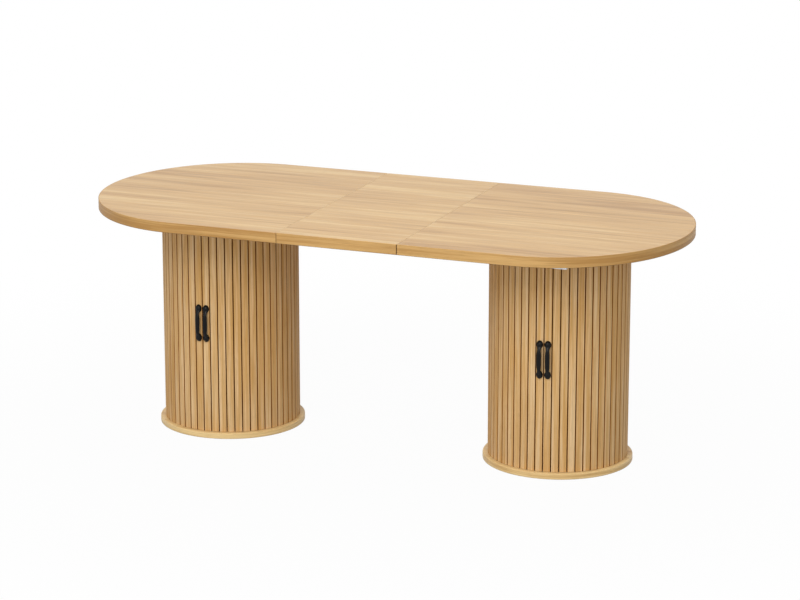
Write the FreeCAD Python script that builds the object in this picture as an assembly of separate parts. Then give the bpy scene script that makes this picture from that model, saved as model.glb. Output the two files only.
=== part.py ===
# Extending dining table: a round-ended top in two halves with a drop-in leaf, carried by two
# drum cabinets whose tambour doors run round them in circular tracks.
# Millimetres, +Z up, origin on the floor under the middle of the top. X runs along the table,
# and the cabinet doors face -Y.
import FreeCAD, Part
import math
import os

# Table top
TABLE_LENGTH = 1950.0  # with the leaf in
TABLE_WIDTH = 910.0
TABLE_HEIGHT = 760.0
TOP_THICKNESS = 33.0
LEAF_LENGTH = 394.0  # along the table
END_DEPTH = 415.0  # how far an elliptical end reaches past the straight sides
SEAM_GAP = 1.2
SEAM_BEVEL = 0.6  # along the top and side edges at a seam
BAND_THICKNESS = 2.0
BAND_ROUND = 1.5

# Locating pins: each half has two, and two sockets for the pins of the other half
PIN_DIAMETER = 10.0
PIN_EMBED = 22.0
PIN_REACH = 16.0
PIN_NEAR_Y = 80.0
PIN_FAR_Y = 240.0
PIN_CLEARANCE = 0.4
PIN_ROUND = 2.0

# Telescopic slides: a channel under each half, and a runner between the two channels
RAIL_LENGTH = 1006.0
RAIL_HEIGHT = 22.0
RAIL_WIDTH = 14.0
RAIL_WALL = 2.5
RAIL_FLANGE = 14.0
RAIL_SLOT = 8.0  # height of the slot that the runner's neck passes through
RUNNER_PLACE_SHARE = 0.443  # of the way from a drum plate's edge out to the table's edge
RUNNER_WIDTH = 10.0
RUNNER_CLEARANCE = 0.4
RAIL_SCREW_DIAMETER = 4.0
RAIL_SCREW_DEPTH = 15.0
RAIL_SCREW_HEAD_DIAMETER = 8.0
RAIL_SCREW_HEAD_HEIGHT = 2.5
RAIL_SCREW_END = 42.0  # from the ends of the screwed stretch
RAIL_SCREWS = 3

# Drum cabinets
DRUM_X = 562.0  # drum axis from the table's middle
DRUM_RADIUS = 220.0  # over the faces of the slats
PLATE_THICKNESS = 18.0
PLATE_OVERHANG = 16.0  # past the faces of the slats
PLATE_ROUND = 4.0
GLIDE_DIAMETER = 30.0
GLIDE_THICKNESS = 2.0
GLIDE_INSET = 30.0  # from the plate's edge to the middle of a glide
GLIDES = 6

# Tambour doors
SLAT_WIDTH = 22.3
SLAT_GAP = 3.0  # at the faces
SLAT_THICKNESS = 9.0
SLAT_ROUND = 1.2
SLATS_PER_DOOR = 18
TONGUE_THICKNESS = 5.0
TONGUE_LENGTH = 6.0
TRACK_CLEARANCE = 0.4  # beside the tongues
TRACK_FLOOR_CLEARANCE = 0.3  # under the tongues
SHOULDER_CLEARANCE = 1.0  # between a slat's shoulders and the plates
CANVAS_THICKNESS = 0.8
CANVAS_MARGIN = 12.0  # bare slat above and below the canvas
LEFT_DRUM_MEETING_SLATS = 0  # slats that the doors' meeting line lies past the front, towards +X
RIGHT_DRUM_MEETING_SLATS = 1

# Carcass inside a drum
BACK_THICKNESS = 4.0
BACK_GAP = 4.0  # between the canvas and the back panel
BACK_HALF_ANGLE = 75.0  # degrees each side of the rear
BACK_GROOVE_DEPTH = 5.0
SIDE_THICKNESS = 16.0
SIDE_SETBACK = 44.0  # from the back panel's inner radius to a side panel's outer face
SEAT_CLEARANCE = 0.2
SHELF_THICKNESS = 15.0
SHELF_CLEARANCE = 0.5
SHELF_SETBACK = 6.0  # of the shelf's round edges from the back panel's inner radius
SHELF_HEIGHT_SHARE = 0.5  # of the clear height between the plates, to the shelf's underside
SHELF_PIN_DIAMETER = 5.0
SHELF_PIN_EMBED = 8.0
SHELF_PIN_REACH = 8.0
SHELF_PIN_DEPTH_SHARE = 0.6  # of the side panel's half depth

# Carcass screws
PANEL_SCREW_DIAMETER = 5.0
PANEL_SCREW_DEPTH = 28.0  # into the side panel
PANEL_SCREW_HEAD_DIAMETER = 9.0
PANEL_SCREW_HEAD_HEIGHT = 3.0
PANEL_SCREW_DEPTH_SHARE = 0.65  # of the side panel's half depth
TOP_SCREW_DIAMETER = 5.0
TOP_SCREW_DEPTH = 22.0  # into the table top
TOP_SCREW_HEAD_DIAMETER = 10.0
TOP_SCREW_HEAD_HEIGHT = 3.0
TOP_SCREW_OFFSET = 95.0  # from the drum's axis, along X and along Y
SCREW_CLEARANCE = 0.1

# Bow handles
HANDLE_CENTRES = 96.0
HANDLE_HEIGHT = 379.0  # middle of the handle above the floor
HANDLE_STANDOFF = 14.5  # middle of the grip from the slat's face
HANDLE_GRIP_WIDTH = 15.0
HANDLE_GRIP_THICKNESS = 9.0
HANDLE_NECK_WIDTH = 9.0
HANDLE_NECK_THICKNESS = 7.5
HANDLE_NECK_SHARE = 0.8  # of the half length, where the grip has narrowed to its neck
HANDLE_SQUARENESS = 2.8  # exponent of the bow's outline: 2 is an ellipse
HANDLE_SECTIONS = 15
HANDLE_FOOT_DIAMETER = 20.5
HANDLE_FOOT_EDGE = 2.5
HANDLE_FOOT_HEIGHT = 7.5
HANDLE_SCREW_DIAMETER = 4.0
HANDLE_SCREW_DEPTH = 5.0  # into the foot
HANDLE_SCREW_HEAD_DIAMETER = 7.5
HANDLE_SCREW_HEAD_HEIGHT = 2.0

CUT_OVERRUN = 5.0  # how far a cutter runs past what it cuts
TOLERANCE = 0.001  # for picking edges by their place

# Places worked out from the sizes above
UP = FreeCAD.Vector(0, 0, 1)
ALONG = FreeCAD.Vector(1, 0, 0)
ORIGIN = FreeCAD.Vector(0, 0, 0)
HALF_LENGTH = TABLE_LENGTH / 2
HALF_WIDTH = TABLE_WIDTH / 2
HALF_LEAF = LEAF_LENGTH / 2
STRAIGHT_END_X = HALF_LENGTH - END_DEPTH
SEAM_X = HALF_LEAF + SEAM_GAP
UNDERSIDE = TABLE_HEIGHT - TOP_THICKNESS
PIN_Z = UNDERSIDE + TOP_THICKNESS / 2
BASE_TOP = GLIDE_THICKNESS + PLATE_THICKNESS
CEILING = UNDERSIDE - PLATE_THICKNESS
CLEAR_HEIGHT = CEILING - BASE_TOP
PLATE_RADIUS = DRUM_RADIUS + PLATE_OVERHANG
RUNNER_Y = PLATE_RADIUS + (HALF_WIDTH - PLATE_RADIUS) * RUNNER_PLACE_SHARE
SLAT_BACK = DRUM_RADIUS - SLAT_THICKNESS
CANVAS_INNER = SLAT_BACK - CANVAS_THICKNESS
BACK_OUTER = CANVAS_INNER - BACK_GAP
BACK_INNER = BACK_OUTER - BACK_THICKNESS
SIDE_OUTER_X = BACK_INNER - SIDE_SETBACK
SIDE_INNER_X = SIDE_OUTER_X - SIDE_THICKNESS
SIDE_HALF_DEPTH = math.sqrt((BACK_INNER - SEAT_CLEARANCE) ** 2 - SIDE_OUTER_X**2)
SIDE_MIDDLE_X = (SIDE_INNER_X + SIDE_OUTER_X) / 2
SHELF_Z = BASE_TOP + CLEAR_HEIGHT * SHELF_HEIGHT_SHARE
SLAT_PITCH = math.degrees((SLAT_WIDTH + SLAT_GAP) / DRUM_RADIUS)
RIGHT_PIN_YS = (PIN_FAR_Y, -PIN_NEAR_Y)
SLIDE_YS = (-RUNNER_Y, RUNNER_Y)
TRACK_RADIUS = DRUM_RADIUS - SLAT_THICKNESS / 2
HANDLE_FOOT_ZS = (HANDLE_HEIGHT - HANDLE_CENTRES / 2, HANDLE_HEIGHT + HANDLE_CENTRES / 2)
RAIL_SCREW_LENGTH = RAIL_SCREW_HEAD_HEIGHT + RAIL_WALL + RAIL_SCREW_DEPTH
PANEL_SCREW_LENGTH = PLATE_THICKNESS + PANEL_SCREW_DEPTH
TOP_SCREW_LENGTH = TOP_SCREW_HEAD_HEIGHT + PLATE_THICKNESS + TOP_SCREW_DEPTH
HANDLE_SCREW_LENGTH = HANDLE_SCREW_HEAD_HEIGHT + CANVAS_THICKNESS + SLAT_THICKNESS + HANDLE_SCREW_DEPTH
SIDES = (-1, 1)
HALF_TURN = 180.0
FRONT_ANGLE = -90.0
REAR_ANGLE = 90.0
BOW_STEP = 0.5  # degrees either way, for the direction of the bow's middle line
LEAD_FOLD_SHARE = 0.5  # of the pitch, from the middle of a slat to the gap beside it


def vector(x, y, z):
    return FreeCAD.Vector(x, y, z)


def block(x0, x1, y0, y1, z0, z1):
    """A box between two corners."""
    return Part.makeBox(x1 - x0, y1 - y0, z1 - z0, vector(x0, y0, z0))


def cylinder(diameter, length, start, direction):
    return Part.makeCylinder(diameter / 2, length, start, direction)


def extrude(points, direction):
    """A prism on a closed polygon."""
    return Part.Face(Part.makePolygon(points + points[:1])).extrude(direction)


def turned(shape, degrees):
    """A copy turned about the Z axis."""
    copy = shape.copy()
    copy.rotate(ORIGIN, UP, degrees)
    return copy


def moved(shape, x, y, z):
    copy = shape.copy()
    copy.translate(vector(x, y, z))
    return copy


def screw(head_diameter, head_height, diameter, length, start, direction=UP):
    """A headed screw: start is the middle of the head's outer face, length is overall."""
    head = cylinder(head_diameter, head_height, start, direction)
    return head.fuse(cylinder(diameter, length, start, direction))


def screw_hole(diameter, length, start, direction):
    """A hole that clears a screw or a pin, with a margin at its end."""
    return cylinder(diameter + 2 * SCREW_CLEARANCE, length + SCREW_CLEARANCE, start, direction)


# Table top


def half_slab(inset):
    """The +X half of the top, from the seam round its end, with the edge moved in by inset."""
    along = vector(END_DEPTH - inset, 0, 0)
    across = vector(0, HALF_WIDTH - inset, 0)
    major, minor = sorted((along, across), key=lambda axis: axis.Length, reverse=True)
    oval = Part.Face(Part.Wire(Part.Ellipse(major, minor, ORIGIN).toShape())).extrude(UP * TOP_THICKNESS)
    end = oval.common(block(0, TABLE_LENGTH, -TABLE_WIDTH, TABLE_WIDTH, 0, TOP_THICKNESS))
    end.translate(ALONG * STRAIGHT_END_X)
    straight = block(SEAM_X, STRAIGHT_END_X, -across.y, across.y, 0, TOP_THICKNESS)
    return moved(straight.fuse(end).removeSplitter(), 0, 0, UNDERSIDE)


def seam_bevels(x, side):
    """Cutters for the bevels of a board that meets a seam at x and lies towards side, +1 or -1."""
    run = SEAM_BEVEL + CUT_OVERRUN
    inner = x + side * run
    outer = x - side * CUT_OVERRUN
    low = TABLE_HEIGHT - run
    high = TABLE_HEIGHT + CUT_OVERRUN
    corners = ((outer, low), (inner, high), (outer, high))
    top = [vector(corner_x, -TABLE_WIDTH, z) for corner_x, z in corners]
    cutters = [extrude(top, vector(0, 2 * TABLE_WIDTH, 0))]
    for sy in SIDES:
        near = sy * (HALF_WIDTH - run)
        far = sy * (HALF_WIDTH + CUT_OVERRUN)
        flank = [vector(outer, near, 0), vector(inner, far, 0), vector(outer, far, 0)]
        cutters.append(extrude(flank, UP * high))
    return cutters


def right_edge_band():
    slab = half_slab(0)
    rims = [e for e in slab.Edges if e.BoundBox.ZLength < TOLERANCE < e.BoundBox.XLength]
    band = slab.makeFillet(BAND_ROUND, rims).cut(half_slab(BAND_THICKNESS))
    return band.cut(seam_bevels(SEAM_X, 1))


def right_pins():
    pins = []
    for y in RIGHT_PIN_YS:
        pin = cylinder(PIN_DIAMETER, PIN_REACH + PIN_EMBED, vector(SEAM_X - PIN_REACH, y, PIN_Z), ALONG)
        tip = [e for e in pin.Edges if e.BoundBox.XMax < SEAM_X]
        pins.append(pin.makeFillet(PIN_ROUND, tip))
    return pins


def right_pin_holes():
    """Tight holes for this half's pins, and loose sockets for the other half's."""
    holes = []
    for y in RIGHT_PIN_YS:
        holes.append(screw_hole(PIN_DIAMETER, PIN_EMBED, vector(SEAM_X, y, PIN_Z), ALONG))
        socket = PIN_DIAMETER + 2 * PIN_CLEARANCE
        holes.append(cylinder(socket, PIN_REACH + PIN_CLEARANCE, vector(SEAM_X, -y, PIN_Z), ALONG))
    return holes


def right_top_panel():
    top_screws = [moved(hole, DRUM_X, 0, 0) for hole in top_screw_holes()]
    holes = right_pin_holes() + top_screws + right_rail_screw_holes()
    return half_slab(BAND_THICKNESS).cut(holes + seam_bevels(SEAM_X, 1))


def leaf_slots():
    """Slots open below and at the seams, so that the leaf drops over the halves' pins."""
    slots = []
    width = PIN_DIAMETER + 2 * PIN_CLEARANCE
    inner = SEAM_X - PIN_REACH - PIN_CLEARANCE
    outer = HALF_LEAF + CUT_OVERRUN
    for y in RIGHT_PIN_YS:
        channel = block(inner, outer, y - width / 2, y + width / 2, UNDERSIDE - CUT_OVERRUN, PIN_Z)
        slot = channel.fuse(cylinder(width, outer - inner, vector(inner, y, PIN_Z), ALONG))
        slots += [slot, turned(slot, HALF_TURN)]
    return slots


def leaf_slab(inset):
    y = HALF_WIDTH - inset
    return block(-HALF_LEAF, HALF_LEAF, -y, y, UNDERSIDE, TABLE_HEIGHT)


def leaf_bevels():
    return seam_bevels(HALF_LEAF, -1) + seam_bevels(-HALF_LEAF, 1)


def leaf_panel():
    return leaf_slab(BAND_THICKNESS).cut(leaf_slots() + leaf_bevels())


def leaf_edge_bands():
    slab = leaf_slab(0)
    rims = [e for e in slab.Edges if e.BoundBox.XLength > TOLERANCE]
    bands = slab.makeFillet(BAND_ROUND, rims).cut(leaf_slab(BAND_THICKNESS))
    return bands.cut(leaf_bevels()).Solids


# Slides


def rail_outline():
    """The channel's section: (distance from its slotted face, distance below its top)."""
    tip = RAIL_WIDTH + RAIL_FLANGE
    web = RAIL_WIDTH - RAIL_WALL
    floor = RAIL_HEIGHT - RAIL_WALL
    slot_top = (RAIL_HEIGHT - RAIL_SLOT) / 2
    slot_bottom = (RAIL_HEIGHT + RAIL_SLOT) / 2
    outside = [(0, 0), (tip, 0), (tip, RAIL_WALL), (RAIL_WIDTH, RAIL_WALL)]
    outside += [(RAIL_WIDTH, RAIL_HEIGHT), (0, RAIL_HEIGHT)]
    inside = [(0, slot_bottom), (RAIL_WALL, slot_bottom), (RAIL_WALL, floor), (web, floor)]
    inside += [(web, RAIL_WALL), (RAIL_WALL, RAIL_WALL), (RAIL_WALL, slot_top), (0, slot_top)]
    return outside + inside


def right_rail(slide_y):
    """The channel under the right half, on the -Y side of the runner at slide_y."""
    face_y = slide_y - RUNNER_WIDTH / 2 - RUNNER_CLEARANCE
    start = HALF_LEAF - RAIL_LENGTH / 2
    points = [vector(start, face_y - out, UNDERSIDE - down) for out, down in rail_outline()]
    return extrude(points, ALONG * RAIL_LENGTH).cut(right_rail_screw_holes())


def right_rail_screw_places():
    """Under the heads of the screws through the flanges of the right half's channels."""
    first = SEAM_X + RAIL_SCREW_END
    last = HALF_LEAF + RAIL_LENGTH / 2 - RAIL_SCREW_END
    step = (last - first) / (RAIL_SCREWS - 1)
    flange = RUNNER_WIDTH / 2 + RUNNER_CLEARANCE + RAIL_WIDTH + RAIL_FLANGE / 2
    z = UNDERSIDE - RAIL_WALL - RAIL_SCREW_HEAD_HEIGHT
    return [vector(first + step * i, y - flange, z) for y in SLIDE_YS for i in range(RAIL_SCREWS)]


def right_rail_screws():
    head = (RAIL_SCREW_HEAD_DIAMETER, RAIL_SCREW_HEAD_HEIGHT)
    places = right_rail_screw_places()
    return [screw(*head, RAIL_SCREW_DIAMETER, RAIL_SCREW_LENGTH, place) for place in places]


def right_rail_screw_holes():
    places = right_rail_screw_places()
    return [screw_hole(RAIL_SCREW_DIAMETER, RAIL_SCREW_LENGTH, place, UP) for place in places]


def runner(slide_y):
    """The sliding bar between two channels, with a head running inside each of them."""
    body = RUNNER_WIDTH / 2
    neck = RAIL_SLOT / 2 - RUNNER_CLEARANCE
    head = RAIL_HEIGHT / 2 - RAIL_WALL - RUNNER_CLEARANCE
    head_inner = body + RAIL_WALL + 2 * RUNNER_CLEARANCE
    head_outer = body + RAIL_WIDTH - RAIL_WALL
    top = RAIL_HEIGHT / 2 - RUNNER_CLEARANCE
    quarter = [(body, top), (body, neck), (head_inner, neck), (head_inner, head), (head_outer, head)]
    half = quarter + [(y, -z) for y, z in quarter[::-1]]
    section = half + [(-y, z) for y, z in half[::-1]]
    middle = UNDERSIDE - RAIL_HEIGHT / 2
    points = [vector(-RAIL_LENGTH / 2, slide_y + y, middle + z) for y, z in section]
    return extrude(points, ALONG * RAIL_LENGTH)


# Drum carcass, about the drum's own axis


def rear_sector(inner, outer, z0, z1, half_angle):
    """A curved wall centred on the drum's rear."""
    wedge = Part.makeCylinder(outer, z1 - z0, vector(0, 0, z0), UP, 2 * half_angle)
    wall = wedge.cut(Part.makeCylinder(inner, z1 - z0, vector(0, 0, z0)))
    return turned(wall, REAR_ANGLE - half_angle)


def track_groove():
    """The circular track in the base plate for the tongues, wide enough for their flat sides."""
    outer = math.hypot(TRACK_RADIUS + TONGUE_THICKNESS / 2, SLAT_WIDTH / 2) + TRACK_CLEARANCE
    inner = TRACK_RADIUS - TONGUE_THICKNESS / 2 - TRACK_CLEARANCE
    depth = TONGUE_LENGTH - SHOULDER_CLEARANCE + TRACK_FLOOR_CLEARANCE
    floor = vector(0, 0, BASE_TOP - depth)
    height = depth + CUT_OVERRUN
    return Part.makeCylinder(outer, height, floor).cut(Part.makeCylinder(inner, height, floor))


def back_groove():
    end_clearance = math.degrees(SEAT_CLEARANCE / BACK_INNER)
    return rear_sector(
        BACK_INNER - SEAT_CLEARANCE,
        BACK_OUTER + SEAT_CLEARANCE,
        BASE_TOP - BACK_GROOVE_DEPTH,
        BASE_TOP + CUT_OVERRUN,
        BACK_HALF_ANGLE + end_clearance,
    )


def panel_screw_places():
    y = SIDE_HALF_DEPTH * PANEL_SCREW_DEPTH_SHARE
    return [vector(sx * SIDE_MIDDLE_X, sy * y, GLIDE_THICKNESS) for sx in SIDES for sy in SIDES]


def base_panel_screws():
    head = (PANEL_SCREW_HEAD_DIAMETER, PANEL_SCREW_HEAD_HEIGHT)
    places = panel_screw_places()
    return [screw(*head, PANEL_SCREW_DIAMETER, PANEL_SCREW_LENGTH, place) for place in places]


def base_panel_screw_holes():
    holes = []
    for place in panel_screw_places():
        holes.append(screw_hole(PANEL_SCREW_DIAMETER, PANEL_SCREW_LENGTH, place, UP))
        holes.append(screw_hole(PANEL_SCREW_HEAD_DIAMETER, PANEL_SCREW_HEAD_HEIGHT, place, UP))
    return holes


def base_plate():
    disc = Part.makeCylinder(PLATE_RADIUS, PLATE_THICKNESS, vector(0, 0, GLIDE_THICKNESS))
    rim = [e for e in disc.Edges if e.BoundBox.ZMin > BASE_TOP - TOLERANCE]
    cutters = [track_groove(), back_groove()] + base_panel_screw_holes()
    return disc.makeFillet(PLATE_ROUND, rim).cut(cutters)


def flipped(shape):
    """Mirrored about the middle of the cabinet's height, which turns base details into top ones."""
    return shape.mirror(vector(0, 0, (BASE_TOP + CEILING) / 2), UP)


def top_plate():
    return flipped(base_plate()).cut(top_screw_holes())


def top_screw_places():
    z = CEILING - TOP_SCREW_HEAD_HEIGHT
    return [vector(sx * TOP_SCREW_OFFSET, sy * TOP_SCREW_OFFSET, z) for sx in SIDES for sy in SIDES]


def top_screws():
    head = (TOP_SCREW_HEAD_DIAMETER, TOP_SCREW_HEAD_HEIGHT)
    places = top_screw_places()
    return [screw(*head, TOP_SCREW_DIAMETER, TOP_SCREW_LENGTH, place) for place in places]


def top_screw_holes():
    return [screw_hole(TOP_SCREW_DIAMETER, TOP_SCREW_LENGTH, place, UP) for place in top_screw_places()]


def panel_screws():
    base = base_panel_screws()
    return base + [flipped(s) for s in base]


def glides():
    circle = PLATE_RADIUS - GLIDE_INSET
    glide = cylinder(GLIDE_DIAMETER, GLIDE_THICKNESS, vector(circle, 0, 0), UP)
    return [turned(glide, 2 * HALF_TURN * i / GLIDES) for i in range(GLIDES)]


def right_shelf_pins(clearance):
    """The two pins in the +X side panel, or with a clearance the holes for them."""
    y = SIDE_HALF_DEPTH * SHELF_PIN_DEPTH_SHARE
    z = SHELF_Z - SHELF_PIN_DIAMETER / 2
    diameter = SHELF_PIN_DIAMETER + 2 * clearance
    length = SHELF_PIN_REACH + SHELF_PIN_EMBED + clearance
    start = SIDE_INNER_X - SHELF_PIN_REACH
    return [cylinder(diameter, length, vector(start, sy * y, z), ALONG) for sy in SIDES]


def shelf_pins():
    right = right_shelf_pins(0)
    return right + [turned(pin, HALF_TURN) for pin in right]


def right_side_panel():
    panel = block(SIDE_INNER_X, SIDE_OUTER_X, -SIDE_HALF_DEPTH, SIDE_HALF_DEPTH, BASE_TOP, CEILING)
    base_holes = base_panel_screw_holes()
    top_holes = [flipped(hole) for hole in base_holes]
    return panel.cut(base_holes + top_holes + right_shelf_pins(SCREW_CLEARANCE))


def back_panel():
    reach = BACK_GROOVE_DEPTH - SEAT_CLEARANCE
    return rear_sector(BACK_INNER, BACK_OUTER, BASE_TOP - reach, CEILING + reach, BACK_HALF_ANGLE)


def shelf():
    disc = Part.makeCylinder(BACK_INNER - SHELF_SETBACK, SHELF_THICKNESS, vector(0, 0, SHELF_Z))
    half_width = SIDE_INNER_X - SHELF_CLEARANCE
    return disc.common(block(-half_width, half_width, -DRUM_RADIUS, DRUM_RADIUS, 0, TABLE_HEIGHT))


# Tambour doors, made at angle 0 with the face towards +X and turned into place


def slat():
    """A slat with a tongue at each end."""
    low = BASE_TOP + SHOULDER_CLEARANCE
    back = TRACK_RADIUS - TONGUE_THICKNESS / 2
    front = TRACK_RADIUS + TONGUE_THICKNESS / 2
    tongue = low - TONGUE_LENGTH
    base = [(SLAT_BACK, low), (back, low), (back, tongue), (front, tongue), (front, low), (DRUM_RADIUS, low)]
    outline = base + [(x, BASE_TOP + CEILING - z) for x, z in base[::-1]]
    solid = extrude([vector(x, -SLAT_WIDTH / 2, z) for x, z in outline], vector(0, SLAT_WIDTH, 0))
    face_edges = [e for e in solid.Edges if e.BoundBox.XMin > DRUM_RADIUS - TOLERANCE]
    uprights = [e for e in face_edges if e.BoundBox.ZLength > TOLERANCE]
    return solid.makeFillet(SLAT_ROUND, uprights)


def handle_screw_places():
    """Under the heads of the screws that come through a lead slat from behind."""
    return [vector(CANVAS_INNER - HANDLE_SCREW_HEAD_HEIGHT, 0, z) for z in HANDLE_FOOT_ZS]


def handle_screws():
    head = (HANDLE_SCREW_HEAD_DIAMETER, HANDLE_SCREW_HEAD_HEIGHT)
    shank = (HANDLE_SCREW_DIAMETER, HANDLE_SCREW_LENGTH)
    return [screw(*head, *shank, place, ALONG) for place in handle_screw_places()]


def handle_screw_holes():
    shank = (HANDLE_SCREW_DIAMETER, HANDLE_SCREW_LENGTH)
    return [screw_hole(*shank, place, ALONG) for place in handle_screw_places()]


def lead_slat():
    return slat().cut(handle_screw_holes())


def canvas(side):
    """The cloth glued over the backs of a door's slats, folded at each gap; side is +1 or -1."""
    points = canvas_line(SLAT_BACK, side) + canvas_line(CANVAS_INNER, side)[::-1]
    low = BASE_TOP + SHOULDER_CLEARANCE + CANVAS_MARGIN
    height = CLEAR_HEIGHT - 2 * (SHOULDER_CLEARANCE + CANVAS_MARGIN)
    cloth = moved(extrude(points, UP * height), 0, 0, low)
    return cloth.cut(handle_screw_holes())


def canvas_line(radius, side):
    """One face of the canvas, from the free edge of the lead slat to that of the last one."""
    fold_radius = radius / math.cos(math.radians(SLAT_PITCH / 2))
    turns = [side * SLAT_PITCH * (i + LEAD_FOLD_SHARE) for i in range(SLATS_PER_DOOR - 1)]
    folds = [on_circle(fold_radius, turn) for turn in turns]
    edge = vector(radius, side * SLAT_WIDTH / 2, 0)
    first = vector(radius, -side * SLAT_WIDTH / 2, 0)
    last = FreeCAD.Rotation(UP, side * SLAT_PITCH * (SLATS_PER_DOOR - 1)).multVec(edge)
    return [first] + folds + [last]


def on_circle(radius, degrees):
    angle = math.radians(degrees)
    return vector(radius * math.cos(angle), radius * math.sin(angle), 0)


def bow_place(degrees):
    """A point on the middle line of the bow: (rise from the slat's face, height from its middle)."""
    power = 2 / HANDLE_SQUARENESS
    across = math.sin(math.radians(degrees))
    along = math.cos(math.radians(degrees))
    rise = HANDLE_STANDOFF * abs(across) ** power
    return rise, -math.copysign(HANDLE_CENTRES / 2 * abs(along) ** power, along)


def bow_section(degrees):
    """The oval cross-section of the bow, square to its middle line."""
    rise, height = bow_place(degrees)
    rise_before, height_before = bow_place(max(degrees - BOW_STEP, 0))
    rise_after, height_after = bow_place(min(degrees + BOW_STEP, HALF_TURN))
    normal = vector(height_after - height_before, 0, rise_before - rise_after).normalize()
    fullness = max(0, 1 - (height / (HANDLE_CENTRES / 2 * HANDLE_NECK_SHARE)) ** 2)
    width = HANDLE_NECK_WIDTH + (HANDLE_GRIP_WIDTH - HANDLE_NECK_WIDTH) * fullness
    thickness = HANDLE_NECK_THICKNESS + (HANDLE_GRIP_THICKNESS - HANDLE_NECK_THICKNESS) * fullness
    centre = vector(DRUM_RADIUS + rise, 0, HANDLE_HEIGHT + height)
    side = centre + vector(0, width / 2, 0)
    oval = Part.Ellipse(side, centre + normal * (thickness / 2), centre)
    return Part.Wire(oval.toShape())


def handle_foot(z):
    """A round pad with a domed face."""
    radius = HANDLE_FOOT_DIAMETER / 2
    dome = HANDLE_FOOT_HEIGHT - HANDLE_FOOT_EDGE
    ball = (radius**2 + dome**2) / (2 * dome)
    half_way = math.asin(radius / ball) / 2
    back = vector(DRUM_RADIUS, 0, z)
    rim = back + vector(HANDLE_FOOT_EDGE, 0, radius)
    crown = back + vector(HANDLE_FOOT_HEIGHT, 0, 0)
    shoulder = crown + vector(ball * (math.cos(half_way) - 1), 0, ball * math.sin(half_way))
    edges = [Part.makeLine(back, back + UP * radius), Part.makeLine(back + UP * radius, rim)]
    edges += [Part.Arc(rim, shoulder, crown).toShape(), Part.makeLine(crown, back)]
    return Part.Face(Part.Wire(edges)).revolve(back, ALONG, 2 * HALF_TURN)


def handle():
    """The hardest form of the table: a bow lofted from neck to grip to neck between two pads."""
    step = HALF_TURN / (HANDLE_SECTIONS - 1)
    bow = Part.makeLoft([bow_section(step * i) for i in range(HANDLE_SECTIONS)], True)
    body = bow.fuse([handle_foot(z) for z in HANDLE_FOOT_ZS])
    return body.cut(handle_screw_holes())


# Assembly


def placed(owner, x, pieces):
    """Pieces made about a drum's own axis, moved to the drum's place and named for their owner."""
    return {f"{owner}_{name}": [moved(s, x, 0, 0) for s in solids] for name, solids in pieces.items()}


def door_nodes(drum, x, meeting_slats, hand, side):
    """One tambour door, whose slats run from the meeting line to one side."""
    lead = FRONT_ANGLE + SLAT_PITCH * (meeting_slats + side * LEAD_FOLD_SHARE)
    turns = [lead + side * SLAT_PITCH * i for i in range(1, SLATS_PER_DOOR)]
    pieces = {
        "slats": [turned(slat(), angle) for angle in turns],
        "lead_slat": [turned(lead_slat(), lead)],
        "canvas": [turned(canvas(side), lead)],
        "handle": [turned(handle(), lead)],
        "handle_screws": [turned(s, lead) for s in handle_screws()],
    }
    return placed(f"{drum}_{hand}_door", x, pieces)


def carcass_nodes(drum, x):
    pieces = {
        "base_plate": [base_plate()],
        "glides": glides(),
        "top_plate": [top_plate()],
        "left_side_panel": [turned(right_side_panel(), HALF_TURN)],
        "right_side_panel": [right_side_panel()],
        "back_panel": [back_panel()],
        "shelf": [shelf()],
        "shelf_pins": shelf_pins(),
        "panel_screws": panel_screws(),
        "top_screws": top_screws(),
    }
    return placed(drum, x, pieces)


def half_nodes():
    """The right half with what is screwed to it, and the left half, the same turned round."""
    front_y, rear_y = SLIDE_YS
    right = {
        "right_top_panel": [right_top_panel()],
        "right_edge_band": [right_edge_band()],
        "right_locating_pins": right_pins(),
        "front_right_rail": [right_rail(front_y)],
        "rear_right_rail": [right_rail(rear_y)],
        "right_rail_screws": right_rail_screws(),
    }
    names = ["left_top_panel", "left_edge_band", "left_locating_pins"]
    names += ["rear_left_rail", "front_left_rail", "left_rail_screws"]
    left = {name: [turned(s, HALF_TURN) for s in solids] for name, solids in zip(names, right.values())}
    return {**right, **left}


def all_nodes():
    front_y, rear_y = SLIDE_YS
    nodes = half_nodes()
    nodes["leaf_panel"] = [leaf_panel()]
    nodes["leaf_edge_bands"] = leaf_edge_bands()
    nodes["front_runner"] = [runner(front_y)]
    nodes["rear_runner"] = [runner(rear_y)]
    left_drum = ("left_drum", -DRUM_X, LEFT_DRUM_MEETING_SLATS)
    right_drum = ("right_drum", DRUM_X, RIGHT_DRUM_MEETING_SLATS)
    for drum, x, meeting_slats in (left_drum, right_drum):
        nodes.update(carcass_nodes(drum, x))
        nodes.update(door_nodes(drum, x, meeting_slats, "left", -1))
        nodes.update(door_nodes(drum, x, meeting_slats, "right", 1))
    return nodes


os.makedirs("parts", exist_ok=True)
for node, solids in all_nodes().items():
    Part.makeCompound(solids).exportStep(os.path.join("parts", node + ".step"))
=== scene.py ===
"""Looks for the extending dining table on two drum cabinets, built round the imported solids.
Metres, +Z up, origin on the floor under the middle of the top, cabinet doors facing -Y."""

import math

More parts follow.
